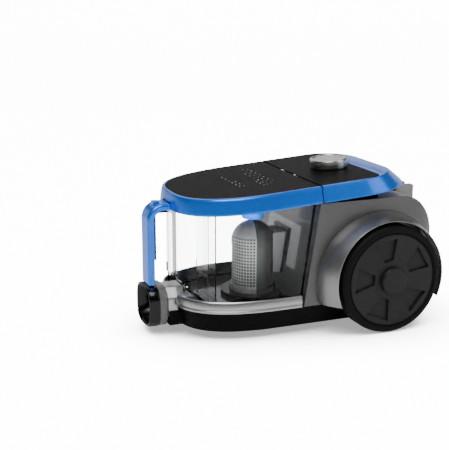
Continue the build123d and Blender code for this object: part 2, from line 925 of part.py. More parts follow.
def base_band(side):
    """One half of the silver band that stands on the base and holds the bin."""
    with BuildPart() as band:
        for level, spread in ((base_top, band_spread), (band_top, 0.0)):
            with BuildSketch(Plane.XY.offset(level)):
                add(
                    plan_face(
                        base_front - spread, base_front + nose_sweep, body_half_width + band_proud + spread,
                        seam_x - band_end, wall,
                    )
                )
        loft()
        with BuildSketch(Plane.XY.offset(base_top)):
            add(
                plan_face(
                    base_front + band_thickness, base_front + nose_sweep, band_inner,
                    seam_x, wall,
                )
            )
        extrude(amount=band_top, mode=Mode.SUBTRACT)
        add(box_part(front_x, riser_x, notch_half - free_gap, 0, deck_height), mode=Mode.SUBTRACT)
        add(box_part(-far, far, far / 2, 0, deck_height, -side * far / 2), mode=Mode.SUBTRACT)
    return band


for side, name in ((-1, "left_base_band"), (1, "right_base_band")):
    save(base_band(side), name)


# Body shell: a side profile crossed with a plan, hollow, open below
def shell_solid(inset, low):
    top = shell_top - inset
    slope = math.tan(math.radians(shell_lean))
    front_low = bin_back_x + shell_offset + inset - (lean_height - low) * slope
    front_high = bin_back_x + shell_offset + inset - (lean_height - top) * slope
    back = rear_x - inset
    with BuildPart() as solid:
        with BuildSketch(Plane.XZ):
            with BuildLine():
                Line((front_low, low), (front_high, top))
                Line((front_high, top), (axle_x + haunch_start, top))
                haunch = [(x - inset, z - inset) for x, z in zip(haunch_x, haunch_z)]
                Spline(
                    [(axle_x + haunch_start, top)] + haunch + [(back, tail_top)], tangents=[(1, 0), (0, -1)],
                )
                Line((back, tail_top), (back, tail_low))
                Line((back, tail_low), (back - tail_tuck, low))
                Line((back - tail_tuck, low), (front_low, low))
            make_face()
        extrude(amount=body_half_width - inset, both=True)
        with BuildSketch(Plane.XY) as plan:
            with Locations(((rear_x - far) / 2 - inset, 0)):
                Rectangle(rear_x + far, 2 * (body_half_width - inset))
            fillet(plan.vertices().group_by(Axis.X)[-1], tail_corner - inset)
        extrude(amount=deck_height, mode=Mode.INTERSECT)
    return solid.part


scoop_front = axle_x - free_gap
scoop_back = scoop_front + scoop_length


def lean_block(half, low, high, start, depth):
    """Block on the leaning front wall of the body, square to it."""
    with BuildPart() as block:
        with BuildSketch(shell_front(0).offset(start)):
            with Locations((0, (low + high) / 2 - lean_height)):
                Rectangle(2 * half, high - low)
        extrude(amount=depth)
    return block.part


def scoop_case():
    """Walls of the hand scoop, trimmed to the outside of the shell."""
    with BuildPart() as case:
        add(
            box_part(
                scoop_front - wall, scoop_back + wall, scoop_half + wall, scoop_floor - wall, deck_height,
            )
        )
        add(shell_solid(0, base_top), mode=Mode.INTERSECT)
    return case.part


with BuildPart() as main_shell:
    add(shell_solid(0, base_top))
    add(shell_solid(wall, base_top - wall), mode=Mode.SUBTRACT)
    add(scoop_case())
    add(box_part(scoop_front, scoop_back, scoop_half, scoop_floor, deck_height), mode=Mode.SUBTRACT)
    add(lean_block(window_half, window_low, window_high, -wall, 3 * wall), mode=Mode.SUBTRACT)
    add(
        box_part(
            rear_x - 3 * wall, rear_x + wall, grille_half + pin_slot,
            grille_low - pin_slot, grille_high + pin_slot,
        ),
        mode=Mode.SUBTRACT,
    )
    add(along_y(-wheel_inner, wheel_inner, axle_x, wheel_radius, axle_radius), mode=Mode.SUBTRACT)
    add(along_x(rear_x - 3 * wall, rear_x + wall, cord_y, cord_z, gland_radius), mode=Mode.SUBTRACT)
save(main_shell, "main_shell")


# Wheel arches: one lip profile turned about the axle, level at the foot
def fender(side):
    crest = wheel_radius + fender_gap + fender_band
    lip = wheel_radius + fender_gap
    with BuildPart() as arch:
        with BuildSketch(Plane((axle_x, 0, wheel_radius), x_dir=(0, side, 0), z_dir=(side, 0, 0))):
            with BuildLine():
                Polyline(
                    (body_half_width, crest), (fender_end - wall, lip + 2 * wall), (fender_end, lip + wall),
                    (fender_end, lip), (fender_end - wall, lip),
                    (body_half_width, crest - fender_skin), close=True,
                )
            make_face()
        revolve(axis=Axis((axle_x, 0, wheel_radius), (0, 1, 0)))
        add(box_part(-far, far, far, -far, fender_low), mode=Mode.SUBTRACT)
        add(box_part(fender_rear, far, far, 0, far), mode=Mode.SUBTRACT)
    return arch


for side, name in ((-1, "left_fender"), (1, "right_fender")):
    save(fender(side), name)

# Wheels and the axle stubs they turn on
disc_outer = wheel_outer - 1.0
axle_end = disc_outer - axle_play

for side, word in ((-1, "left"), (1, "right")):
    with BuildPart() as axle:
        add(along_y(axle_inner, axle_end - part_gap, axle_x, wheel_radius, axle_radius))
        add(along_y(axle_inner, body_half_width - wall, axle_x, wheel_radius, axle_flange))
        if side < 0:
            mirror(about=Plane.XZ, mode=Mode.REPLACE)
    save(axle, f"{word}_axle")

    with BuildPart() as tyre:
        add(along_y(wheel_inner, wheel_outer, axle_x, wheel_radius, wheel_radius, disc_radius))
        fillet(tyre.edges().filter_by(GeomType.CIRCLE).sort_by(SortBy.RADIUS)[-2:], tyre_round)
        if side < 0:
            mirror(about=Plane.XZ, mode=Mode.REPLACE)
    save(tyre, f"{word}_tyre")

    with BuildPart() as disc:
        add(along_y(wheel_inner + part_gap, disc_outer, axle_x, wheel_radius, disc_radius))
        add(along_y(0, axle_end, axle_x, wheel_radius, axle_radius + running), mode=Mode.SUBTRACT)
        with BuildSketch(Plane((axle_x, disc_outer, wheel_radius), x_dir=(1, 0, 0), z_dir=(0, 1, 0))):
            with PolarLocations(0, pocket_count, start_angle=pocket_turn):
                with Locations((pocket_centre, 0)):
                    Trapezoid(pocket_wide, pocket_deep, pocket_slant, rotation=90)
        extrude(amount=-pocket_depth, mode=Mode.SUBTRACT)
        if side < 0:
            mirror(about=Plane.XZ, mode=Mode.REPLACE)
    save(disc, f"{word}_wheel_disc")

    with BuildPart() as cap:
        add(along_y(disc_outer, wheel_outer + hub_rise, axle_x, wheel_radius, hub_radius))
        fillet(cap.faces().sort_by(Axis.Y)[-1].edges(), hub_round)
        if side < 0:
            mirror(about=Plane.XZ, mode=Mode.REPLACE)
    save(cap, f"{word}_hub_cap")

# Front caster: cup in the base, turning fork, wheel on a cross pin
wheel_z = caster_wheel_radius
trail_x = caster_x + caster_trail
cheek_inner = caster_wheel_width / 2 + fork_play
cheek_outer = cheek_inner + fork_cheek
fork_top = cup_top - cup_wall - part_gap
fork_web = 2 * caster_wheel_radius + 1.0

with BuildPart() as caster_cup:
    add(along_z(caster_x, ground_clearance, cup_top, caster_pocket - running))
    add(along_z(caster_x, 0, cup_top - cup_wall, caster_pocket - cup_wall), mode=Mode.SUBTRACT)
    add(along_z(caster_x, 0, far, caster_stem + running), mode=Mode.SUBTRACT)
save(caster_cup, "caster_cup")

with BuildPart() as caster_fork:
    add(along_z(caster_x, fork_web, fork_top, caster_plate))
    add(along_z(caster_x, fork_web, cup_top - part_gap, caster_stem))
    for side in (-1, 1):
        middle = side * (cheek_inner + cheek_outer) / 2
        add(
            box_part(
                trail_x - cheek_half, trail_x + cheek_half,
                fork_cheek / 2, wheel_z - fork_axle - fork_foot, fork_web,
                middle,
            )
        )
    add(along_y(-cheek_outer, cheek_outer, trail_x, wheel_z, fork_axle))
save(caster_fork, "caster_fork")

with BuildPart() as caster_wheel:
    half = caster_wheel_width / 2
    add(along_y(-half, half, trail_x, wheel_z, caster_wheel_radius, fork_axle + running))
    fillet(caster_wheel.edges().filter_by(GeomType.CIRCLE).sort_by(SortBy.RADIUS)[-2:], caster_round)
save(caster_wheel, "caster_wheel")

# Bin outlet seal and motor filter
with BuildPart() as outlet_seal:
    add(
        lean_block(
            outlet_half + 2 * wall, outlet_low - 2 * wall, outlet_high + 2 * wall, -2 * shell_offset, far,
        )
    )
    split(bisect_by=bin_back(part_gap), keep=Keep.TOP)
    split(bisect_by=shell_front(0), keep=Keep.BOTTOM)
    add(
        box_part(filter_x, rear_x, outlet_half + wall / 2, outlet_low - wall / 2, outlet_high + wall / 2),
        mode=Mode.SUBTRACT,
    )
save(outlet_seal, "outlet_seal")

with BuildPart() as filter_frame:
    add(lean_block(window_half - running, window_low + running, window_high - running, 0, foam_depth + wall))
    add(lean_block(window_half - wall, window_low + wall, window_high - wall, wall, far), mode=Mode.SUBTRACT)
    add(
        lean_block(outlet_half + wall / 2, outlet_low + 2 * wall, outlet_high + wall / 2, -wall, far),
        mode=Mode.SUBTRACT,
    )
save(filter_frame, "motor_filter_frame")

with BuildPart() as motor_filter:
    add(lean_block(window_half - wall, window_low + wall, window_high - wall, wall, foam_depth))
save(motor_filter, "motor_filter")

# Motor and fan
fan_front = motor_front + wall
can_start = motor_front + fan_length
can_end = can_start + can_length

with BuildPart() as fan_housing:
    add(along_x(motor_front, can_start, motor_y, motor_z, motor_radius))
    add(along_x(fan_front, can_start - wall, motor_y, motor_z, motor_radius - wall), mode=Mode.SUBTRACT)
    add(along_x(motor_front - wall, fan_front, motor_y, motor_z, motor_inlet), mode=Mode.SUBTRACT)
    add(along_x(can_start - wall, can_start, motor_y, motor_z, fan_hub), mode=Mode.SUBTRACT)
save(fan_housing, "fan_housing")

with BuildPart() as motor_can:
    add(along_x(can_start, can_end, motor_y, motor_z, can_radius, can_radius - wall))
    add(along_x(can_end - wall, can_end, motor_y, motor_z, can_radius, bearing_radius))
save(motor_can, "motor_can")

with BuildPart() as motor_bearing:
    add(
        along_x(
            can_end - bearing_width, can_end, motor_y, motor_z, bearing_radius, motor_shaft_radius + running,
        )
    )
save(motor_bearing, "motor_bearing")

with BuildPart() as motor_armature:
    add(along_x(can_start + 2 * wall, can_end - 4 * wall, motor_y, motor_z, can_radius - 3 * wall))
    add(along_x(fan_front + 2 * wall, can_end, motor_y, motor_z, motor_shaft_radius))
save(motor_armature, "motor_armature")

with BuildPart() as fan:
    fan_plate = can_start - 2 * wall - fan_skin
    add(along_x(fan_plate, fan_plate + fan_skin, motor_y, motor_z, fan_radius))
    add(along_x(fan_front + 2 * wall, fan_plate, motor_y, motor_z, fan_hub))
    with BuildSketch(Plane((fan_plate, motor_y, motor_z), x_dir=(0, 1, 0), z_dir=(1, 0, 0))):
        with PolarLocations((fan_hub + fan_radius) / 2 - fan_skin, fan_blades):
            Rectangle(fan_radius - fan_hub, fan_skin, rotation=fan_sweep)
    extrude(amount=-(fan_plate - fan_front - 2 * wall))
    add(along_x(0, far / 2, motor_y, motor_z, motor_shaft_radius), mode=Mode.SUBTRACT)
save(fan, "fan")

# Cord reel
reel_left = reel_y - reel_width / 2

with BuildPart() as reel_case:
    add(along_y(reel_left - wall, reel_left + reel_width, reel_x, reel_z, reel_radius))
    add(along_y(reel_left, reel_left + reel_width, reel_x, reel_z, reel_radius - wall), mode=Mode.SUBTRACT)
    add(along_y(reel_left - wall, reel_left + reel_width - wall, reel_x, reel_z, reel_axle_radius))
    add(box_part(reel_x, far, cord_slot, cord_z - cord_slot, cord_z + cord_slot, cord_y), mode=Mode.SUBTRACT)
save(reel_case, "reel_case")

with BuildPart() as cord_reel:
    start = reel_left + wall / 2
    end = reel_left + reel_width - wall
    add(along_y(start, end, reel_x, reel_z, drum_core))
    add(along_y(start, start + drum_flange, reel_x, reel_z, drum_radius))
    add(along_y(end - drum_flange, end, reel_x, reel_z, drum_radius))
    add(along_y(0, far, reel_x, reel_z, reel_axle_radius + running), mode=Mode.SUBTRACT)
save(cord_reel, "cord_reel")

with BuildPart() as cord_outlet:
    add(along_x(rear_x - 2 * wall, rear_x - running, cord_y, cord_z, gland_radius, gland_hole))
save(cord_outlet, "cord_outlet")

# Exhaust: filter block and the hinged grille over it
grille_back = rear_x - grille_thickness

with BuildPart() as exhaust_filter:
    add(box_part(grille_back - foam_depth - wall, grille_back - wall, grille_half, grille_low, grille_high))
save(exhaust_filter, "exhaust_filter")

with BuildPart() as exhaust_grille:
    add(box_part(grille_back, rear_x, grille_half, grille_low, grille_high))
    slat_pitch = (grille_high - grille_low - 2 * wall) / slat_count
    for k in range(slat_count):
        low = grille_low + wall + slat_pitch * (k + slat_share / 2)
        high = low + slat_pitch * (1 - slat_share)
        add(
            box_part(grille_back - wall, rear_x + wall, grille_half - 2 * wall, low, high),
            mode=Mode.SUBTRACT,
        )
save(exhaust_grille, "exhaust_grille")

# Parking bracket for the floor head hook
with BuildPart() as parking_bracket:
    add(box_part(bracket_start, bracket_end, bracket_half, bracket_low, bracket_high))
    add(shell_solid(0, base_top), mode=Mode.SUBTRACT)
    add(box_part(bracket_end - slot_depth, far, slot_half, 0, far), mode=Mode.SUBTRACT)
save(parking_bracket, "parking_bracket")
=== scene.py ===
import json
import math
import bmesh
import bpy
import numpy as np
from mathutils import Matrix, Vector


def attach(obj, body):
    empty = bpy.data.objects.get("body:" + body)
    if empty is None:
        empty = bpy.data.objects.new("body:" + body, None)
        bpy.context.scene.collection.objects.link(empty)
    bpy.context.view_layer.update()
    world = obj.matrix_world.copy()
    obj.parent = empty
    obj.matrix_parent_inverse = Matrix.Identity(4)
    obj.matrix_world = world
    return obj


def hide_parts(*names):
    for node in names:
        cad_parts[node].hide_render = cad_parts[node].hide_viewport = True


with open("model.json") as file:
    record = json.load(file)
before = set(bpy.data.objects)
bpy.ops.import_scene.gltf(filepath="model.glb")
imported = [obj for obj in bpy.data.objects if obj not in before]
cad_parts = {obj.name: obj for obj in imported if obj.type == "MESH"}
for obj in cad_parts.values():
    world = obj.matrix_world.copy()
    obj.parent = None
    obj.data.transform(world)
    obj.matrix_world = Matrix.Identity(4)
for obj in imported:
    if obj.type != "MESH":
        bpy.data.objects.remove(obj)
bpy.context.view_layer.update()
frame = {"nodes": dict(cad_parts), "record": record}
nodes = frame["nodes"]
mm = 0.001
sharpAngle = 38.0  # degrees between faces that shade as an edge
print("frame loaded:", len(nodes), "nodes")


def newMaterial(name):
    # a material with one shader, its node tree, and coordinates in metres on the object
    material = bpy.data.materials.new(name)
    material.use_nodes = True
    tree = material.node_tree
    shader = tree.nodes["Principled BSDF"]
    coords = tree.nodes.new("ShaderNodeTexCoord")
    return material, tree, shader, coords.outputs["Object"]


def setInputs(node, **values):
    # sets sockets by name, with _ for each space
    for key, value in values.items():
        node.inputs[key.replace("_", " ")].default_value = value


def noiseAt(tree, vector, scale, detail=3.0, stretch=None):
    # noise in metres: one feature is about 1 / scale of a metre; stretch squeezes it along an axis
    if stretch:
        mapping = tree.nodes.new("ShaderNodeMapping")
        mapping.inputs["Scale"].default_value = stretch
        tree.links.new(vector, mapping.inputs["Vector"])
        vector = mapping.outputs["Vector"]
    noise = tree.nodes.new("ShaderNodeTexNoise")
    setInputs(noise, Scale=scale, Detail=detail, Roughness=0.55)
    tree.links.new(vector, noise.inputs["Vector"])
    return noise.outputs["Fac"]


def ramp(tree, value, low, high, outLow, outHigh):
    # straight line from (low, outLow) to (high, outHigh), clamped
    node = tree.nodes.new("ShaderNodeMapRange")
    for key, number in zip(("From Min", "From Max", "To Min", "To Max"), (low, high, outLow, outHigh)):
        node.inputs[key].default_value = number
    tree.links.new(value, node.inputs["Value"])
    return node.outputs["Result"]


def mixColour(tree, factor, first, second):
    # first * (1 - factor) + second * factor; each is a colour or a socket
    node = tree.nodes.new("ShaderNodeMix")
    node.data_type = "RGBA"
    for socket, colour in ((node.inputs[6], first), (node.inputs[7], second)):
        if isinstance(colour, (tuple, list)):
            socket.default_value = (*colour, 1.0)
        else:
            tree.links.new(colour, socket)
    tree.links.new(factor, node.inputs["Factor"])
    return node.outputs[2]


def softEdges(tree, shader, radius, height=None, strength=0.1, distance=0.0002):
    # rounded edge normals, with a fine bump on top of them when a height is given
    bevel = tree.nodes.new("ShaderNodeBevel")
    bevel.samples = 4
    bevel.inputs["Radius"].default_value = radius
    normal = bevel.outputs["Normal"]
    if height is not None:
        bump = tree.nodes.new("ShaderNodeBump")
        setInputs(bump, Strength=strength, Distance=distance)
        tree.links.new(height, bump.inputs["Height"])
        tree.links.new(normal, bump.inputs["Normal"])
        normal = bump.outputs["Normal"]
    tree.links.new(normal, shader.inputs["Normal"])


def plastic(name, colour, rough=0.4, spread=0.06, grain=2500.0, bump=0.08, coat=0.0, metallic=0.0, edge=0.8,
            tone=0.12, specular=0.5):
    # moulded plastic: slow colour drift, grain in the gloss and a fine skin texture
    material, tree, shader, where = newMaterial(name)
    drift = noiseAt(tree, where, 14.0, 2.0)
    darker = tuple(c * (1.0 - tone) for c in colour)
    lighter = tuple(min(1.0, c * (1.0 + tone)) for c in colour)
    colourMix = mixColour(tree, ramp(tree, drift, 0.35, 0.65, 0.0, 1.0), darker, lighter)
    tree.links.new(colourMix, shader.inputs["Base Color"])
    skin = noiseAt(tree, where, grain, 2.0)
    tree.links.new(ramp(tree, skin, 0.3, 0.7, rough - spread, rough + spread), shader.inputs["Roughness"])
    setInputs(shader, Metallic=metallic, Coat_Weight=coat, Coat_Roughness=0.08, Specular_IOR_Level=specular)
    softEdges(tree, shader, edge * mm, skin, bump)
    return material


def flakePaint(name, colour, rough=0.35, metallic=0.65, coat=0.35, edge=1.0):
    # metallic paint: tiny flakes change the brightness, clear coat over them
    material, tree, shader, where = newMaterial(name)
    flakes = tree.nodes.new("ShaderNodeTexVoronoi")
    setInputs(flakes, Scale=2600.0)
    tree.links.new(where, flakes.inputs["Vector"])
    sparkle = ramp(tree, flakes.outputs["Distance"], 0.0, 0.6, 0.88, 1.12)
    drift = ramp(tree, noiseAt(tree, where, 9.0, 2.0), 0.3, 0.7, 0.95, 1.05)
    product = tree.nodes.new("ShaderNodeMath")
    product.operation = "MULTIPLY"
    tree.links.new(sparkle, product.inputs[0])
    tree.links.new(drift, product.inputs[1])
    scaled = tree.nodes.new("ShaderNodeVectorMath")
    scaled.operation = "SCALE"
    scaled.inputs[0].default_value = colour
    tree.links.new(product.outputs[0], scaled.inputs["Scale"])
    tree.links.new(scaled.outputs[0], shader.inputs["Base Color"])
    tree.links.new(ramp(tree, sparkle, 0.88, 1.12, rough - 0.04, rough + 0.04), shader.inputs["Roughness"])
    setInputs(shader, Metallic=metallic, Coat_Weight=coat, Coat_Roughness=0.12)
    softEdges(tree, shader, edge * mm, noiseAt(tree, where, 1800.0, 2.0), 0.03)
    return material


def brushed(name, colour, rough=0.28, stretch=(40.0, 4000.0, 4000.0), edge=0.3):
    # fine parallel scratches: noise squeezed across the brushing direction
    material, tree, shader, where = newMaterial(name)
    lines = noiseAt(tree, where, 1.0, 3.0, stretch)
    dark = tuple(c * 0.8 for c in colour)
    tree.links.new(
        mixColour(tree, ramp(tree, lines, 0.3, 0.7, 0.0, 1.0), dark, colour), shader.inputs["Base Color"])
    tree.links.new(ramp(tree, lines, 0.3, 0.7, rough - 0.08, rough + 0.1), shader.inputs["Roughness"])
    setInputs(shader, Metallic=1.0)
    softEdges(tree, shader, edge * mm, lines, 0.05, 0.0001)
    return material


def clearPlastic(name, tint, ior, rough=0.015):
    # clear moulding: bends light a little, lets light through for shadows, with faint moulding ripples
    material, tree, shader, where = newMaterial(name)
    ripple = noiseAt(tree, where, 60.0, 2.0)
    tree.links.new(
        mixColour(tree, ramp(tree, ripple, 0.3, 0.7, 0.0, 1.0), tuple(c * 0.985 for c in tint), tint),
        shader.inputs["Base Color"])
    setInputs(shader, Transmission_Weight=1.0, IOR=ior, Specular_IOR_Level=0.5)
    tree.links.new(ramp(tree, ripple, 0.3, 0.7, rough, rough + 0.01), shader.inputs["Roughness"])
    bump = tree.nodes.new("ShaderNodeBump")
    setInputs(bump, Strength=0.05, Distance=0.0005)
    tree.links.new(ripple, bump.inputs["Height"])
    tree.links.new(bump.outputs["Normal"], shader.inputs["Normal"])
    path = tree.nodes.new("ShaderNodeLightPath")
    through = tree.nodes.new("ShaderNodeBsdfTransparent")
    through.inputs["Color"].default_value = (*tuple(c * 0.97 for c in tint), 1.0)
    mix = tree.nodes.new("ShaderNodeMixShader")
    tree.links.new(path.outputs["Is Shadow Ray"], mix.inputs[0])
    tree.links.new(shader.outputs[0], mix.inputs[1])
    tree.links.new(through.outputs[0], mix.inputs[2])
    tree.links.new(mix.outputs[0], tree.nodes["Material Output"].inputs["Surface"])
    return material


blueGloss = plastic("blueGloss", (0.0, 0.2, 1.0), rough=0.28, coat=0.5, bump=0.02, tone=0.05, edge=1.2,
                    metallic=0.55)
charcoal = plastic("charcoal", (0.006, 0.0055, 0.0052), rough=0.42, bump=0.08, grain=3500.0, edge=0.3,
                   specular=0.02)
greyPaint = flakePaint("greyPaint", (0.12, 0.12, 0.12), rough=0.4, metallic=0.8)
archPaint = flakePaint("archPaint", (0.30, 0.30, 0.30), rough=0.33, metallic=0.9)
silverPaint = flakePaint("silverPaint", (0.50, 0.50, 0.50), rough=0.27, metallic=0.95)
blackBase = plastic("blackBase", (0.003, 0.003, 0.003), rough=0.4, bump=0.1, edge=1.5, specular=0.06)
glossBlack = plastic("glossBlack", (0.002, 0.002, 0.002), rough=0.22, spread=0.03, coat=0.15, bump=0.02,
                     specular=0.3)
clearBin = clearPlastic("clearBin", tint=(0.97, 0.98, 0.985), ior=1.2)
darkRubber = plastic("darkRubber", (0.006, 0.006, 0.006), rough=0.55, bump=0.2, grain=1400.0, edge=1.0,
                     specular=0.1)
wheelPlastic = plastic("wheelPlastic", (0.014, 0.014, 0.014), rough=0.4, bump=0.15, grain=2200.0, edge=0.8,
                       specular=0.25)
brushedMetal = brushed("brushedMetal", (0.72, 0.71, 0.69))
plainSteel = brushed("plainSteel", (0.5, 0.5, 0.5), 0.35)
smokePlastic = plastic("smokePlastic", (0.12, 0.12, 0.12), rough=0.3, coat=0.2, bump=0.04)
greyPlastic = plastic("greyPlastic", (0.26, 0.26, 0.26), rough=0.4, bump=0.08)
armatureIron = plastic("armatureIron", (0.18, 0.13, 0.10), rough=0.5, metallic=0.6, grain=900.0)
filterFoam = plastic("filterFoam", (0.05, 0.05, 0.055), rough=0.9, bump=0.8, grain=700.0, tone=0.3)
filterCloth = plastic("filterCloth", (0.75, 0.75, 0.72), rough=0.85, bump=0.5, grain=500.0, tone=0.1)
boardGreen = plastic("boardGreen", (0.02, 0.13, 0.05), rough=0.35, coat=0.3, grain=600.0, tone=0.3)

looks = {
    "blue_gloss": blueGloss, "charcoal_panel": charcoal, "grey_metallic": greyPaint,
    "silver_trim": silverPaint, "black_plastic": blackBase, "gloss_black": glossBlack,
    "clear_plastic": clearBin, "dark_rubber": darkRubber, "wheel_plastic": wheelPlastic,
    "brushed_metal": brushedMetal, "steel": plainSteel, "smoke_plastic": smokePlastic,
    "grey_plastic": greyPlastic, "copper_iron": armatureIron, "foam": filterFoam,
    "paper_filter": filterCloth, "circuit_green": boardGreen,
}
for part in frame["record"]["subparts"]:
    mesh = nodes[part["node"]].data
    mesh.materials.clear()
    mesh.materials.append(looks[part["material_slot"]])
print("materials set")


def outwards(mesh):
    # joins doubled points, then turns every face outward
    work = bmesh.new()
    work.from_mesh(mesh)
    bmesh.ops.remove_doubles(work, verts=work.verts, dist=1e-7)
    bmesh.ops.recalc_face_normals(work, faces=work.faces)
    work.to_mesh(mesh)
    work.free()


def surface(name, grid, body, material, capEnds=False):
    # grid is rows x columns x 3 in millimetres: a quad between neighbours, each row closed on itself
    rows, columns, _ = grid.shape
    points = grid.reshape(-1, 3) * mm
    r, c = np.meshgrid(np.arange(rows - 1), np.arange(columns), indexing="ij")
    nextC = (c + 1) % columns
    below, above = r * columns, (r + 1) * columns
    faces = np.stack([below + c, below + nextC, above + nextC, above + c], -1).reshape(-1, 4).tolist()
    if capEnds:
        faces.append(list(range(columns))[::-1])
        faces.append(list(range((rows - 1) * columns, rows * columns)))
    mesh = bpy.data.meshes.new(name)
    mesh.from_pydata(points.tolist(), [], faces)
    mesh.validate()
    mesh.update()
    piece = bpy.data.objects.new(name, mesh)
    bpy.context.scene.collection.objects.link(piece)
    outwards(mesh)
    mesh.polygons.foreach_set("use_smooth", [True] * len(mesh.polygons))
    mesh.set_sharp_from_angle(angle=math.radians(sharpAngle))
    mesh.materials.append(material)
    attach(piece, body)
    return piece


def smoothStep(x, low, high):
    # t * t * (3 - 2 t), from 0 at low to 1 at high
    t = np.clip((x - low) / (high - low), 0.0, 1.0)
    return t * t * (3 - 2 * t)


# the deck rises to the rear from the seam; millimetres and degrees
deckTilt = 3.9
seamX, deckZ = 12.0, 205.5
tilt = math.radians(deckTilt)


def fromDeck(u, y, w):
    # deck coordinates (along, across, above) to the part frame, in millimetres
    return np.stack([seamX + u * math.cos(tilt) - w * math.sin(tilt), y * np.ones_like(u),
                     deckZ + u * math.sin(tilt) + w * math.cos(tilt)], -1)


# lid rim: a rounded band round the nose, notched over the handle arm
lidRim = {"half": 95.0, "nose": 134.0, "full": -42.0, "power": 2.7, "seam": -0.8,
          "notchHalf": 18.0, "notchDepth": 11.4,
          "profile": ((0.0, -2.6), (0.0, -0.3), (0.25, 0.0), (2.2, 0.0), (3.4, -0.35), (4.3, -1.2),
                      (4.95, -2.6), (5.7, -5.5), (6.6, -10.0), (7.5, -15.0), (8.2, -19.0), (8.5, -20.8),
                      (8.3, -21.6), (7.6, -22.0), (6.2, -22.0), (5.6, -21.4), (4.8, -17.0), (3.4, -9.0),
                      (2.2, -5.6), (0.2, -5.2))}


def noseRow(out, down):
    # one row round the nose: straight sides, then a superellipse grown by out
    t = np.linspace(0, math.pi / 2, 49)
    x = lidRim["full"] - (lidRim["nose"] + out) * np.cos(t) ** (2 / lidRim["power"])
    y = (lidRim["half"] + out) * np.sin(t) ** (2 / lidRim["power"])
    side = np.linspace(lidRim["seam"], lidRim["full"], 9)[:-1]
    u = np.concatenate([side, x[::-1]])
    v = np.concatenate([np.full(8, lidRim["half"] + out), y[::-1]])
    u = np.concatenate([u, u[::-1][1:]])
    v = np.concatenate([v, -v[::-1][1:]])
    near = 1.0 - smoothStep(np.abs(v), lidRim["notchHalf"] - 0.6, lidRim["notchHalf"] + 0.6)
    near = near * (u < lidRim["full"])
    w = np.full_like(u, down)
    w = np.where(w < -lidRim["notchDepth"], w * (1 - near) - lidRim["notchDepth"] * near, w)
    return fromDeck(u, v, w)


def makeLidRim():
    # the profile, swept by noseRow
    grid = np.stack([noseRow(out, down) for out, down in lidRim["profile"]], 1)
    piece = surface("lidRimBand", grid, "lid", blueGloss, capEnds=True)
    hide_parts("lid_rim")


# body rim: the same band along the sides, widening to the carry grip at the back
bodyRim = {"start": 2.05, "wall": 3.0, "drop": 22.0, "web": 4.0,
           "inner": (96.0, 16.0, 95.0), "top": (129.0, 62.0, 99.5), "low": (156.0, 84.0, 103.5)}


def backOutline(rear, corner, half):
    # half outline from the seam along the side, round the corner to the middle of the back, then mirrored
    side = np.linspace(bodyRim["start"], rear - corner, 13)[:-1]
    turn = np.linspace(math.pi / 2, 0, 17)
    back = np.linspace(half - corner, 0, 9)[1:]
    u = np.concatenate([side, rear - corner + corner * np.cos(turn), np.full(8, rear)])
    v = np.concatenate([np.full(12, half), half - corner + corner * np.sin(turn), back])
    return np.concatenate([u, u[::-1][1:]]), np.concatenate([v, -v[::-1][1:]])


def makeBodyRim():
    # each row is a share between the panel's, the upper and the lower outline, at its height above the deck
    thin = bodyRim["wall"]
    inner, top, low = (np.array(backOutline(*bodyRim[key])) for key in ("inner", "top", "low"))
    rear, corner, half = bodyRim["low"]
    lowIn = np.array(backOutline(rear - thin, corner - thin, half - thin))
    rear, corner, half = bodyRim["top"]
    topIn = np.array(backOutline(rear - thin, corner - thin, half - thin))

    def between(a, b, share):
        return a * (1 - share) + b * share

    drop, underWeb = -bodyRim["drop"], -bodyRim["web"] - 1.0
    rows = [(inner, -2.6), (inner, -0.3), (between(inner, top, 0.04), 0.0),
            (between(inner, top, 0.6), 0.0), (between(inner, top, 0.86), -0.25),
            (between(inner, top, 0.97), -0.9), (between(top, low, 0.05), -2.1),
            (between(top, low, 0.18), -4.6), (between(top, low, 0.45), -10.0),
            (between(top, low, 0.75), -16.2), (between(top, low, 0.95), -20.4),
            (between(top, low, 0.985), -21.5), (between(top, low, 0.97), drop),
            (lowIn, drop), (between(lowIn, topIn, 0.5), -14.0), (topIn, underWeb),
            (between(topIn, inner, 0.9), underWeb)]
    grid = np.stack([fromDeck(o[0], o[1], np.full(o.shape[1], w)) for o, w in rows], 1)
    piece = surface("bodyRimBand", grid, "main_body", blueGloss, capEnds=True)
    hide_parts("body_rim")


def lathe(name, profile, body, material, centre, axis, start, turns):
    # turns (radius, along) points about an axis through centre; start is a direction square to the axis
    axis, start = np.array(axis, float), np.array(start, float)
    side = np.cross(axis, start)
    profile = np.array(profile, float)
    angle = np.linspace(0, 2 * math.pi, turns, endpoint=False)
    ring = np.cos(angle)[:, None] * start + np.sin(angle)[:, None] * side
    grid = np.array(centre) + profile[:, None, 1, None] * axis + profile[:, None, 0, None] * ring[None]
    return surface(name, grid, body, material)


# knob: plain side, bright chamfer ring, dished brushed top
knob = {"at": 62.0, "radius": 27.0, "low": 1.0, "high": 13.3, "chamfer": 1.3, "ring": 3.6, "dish": 1.1}


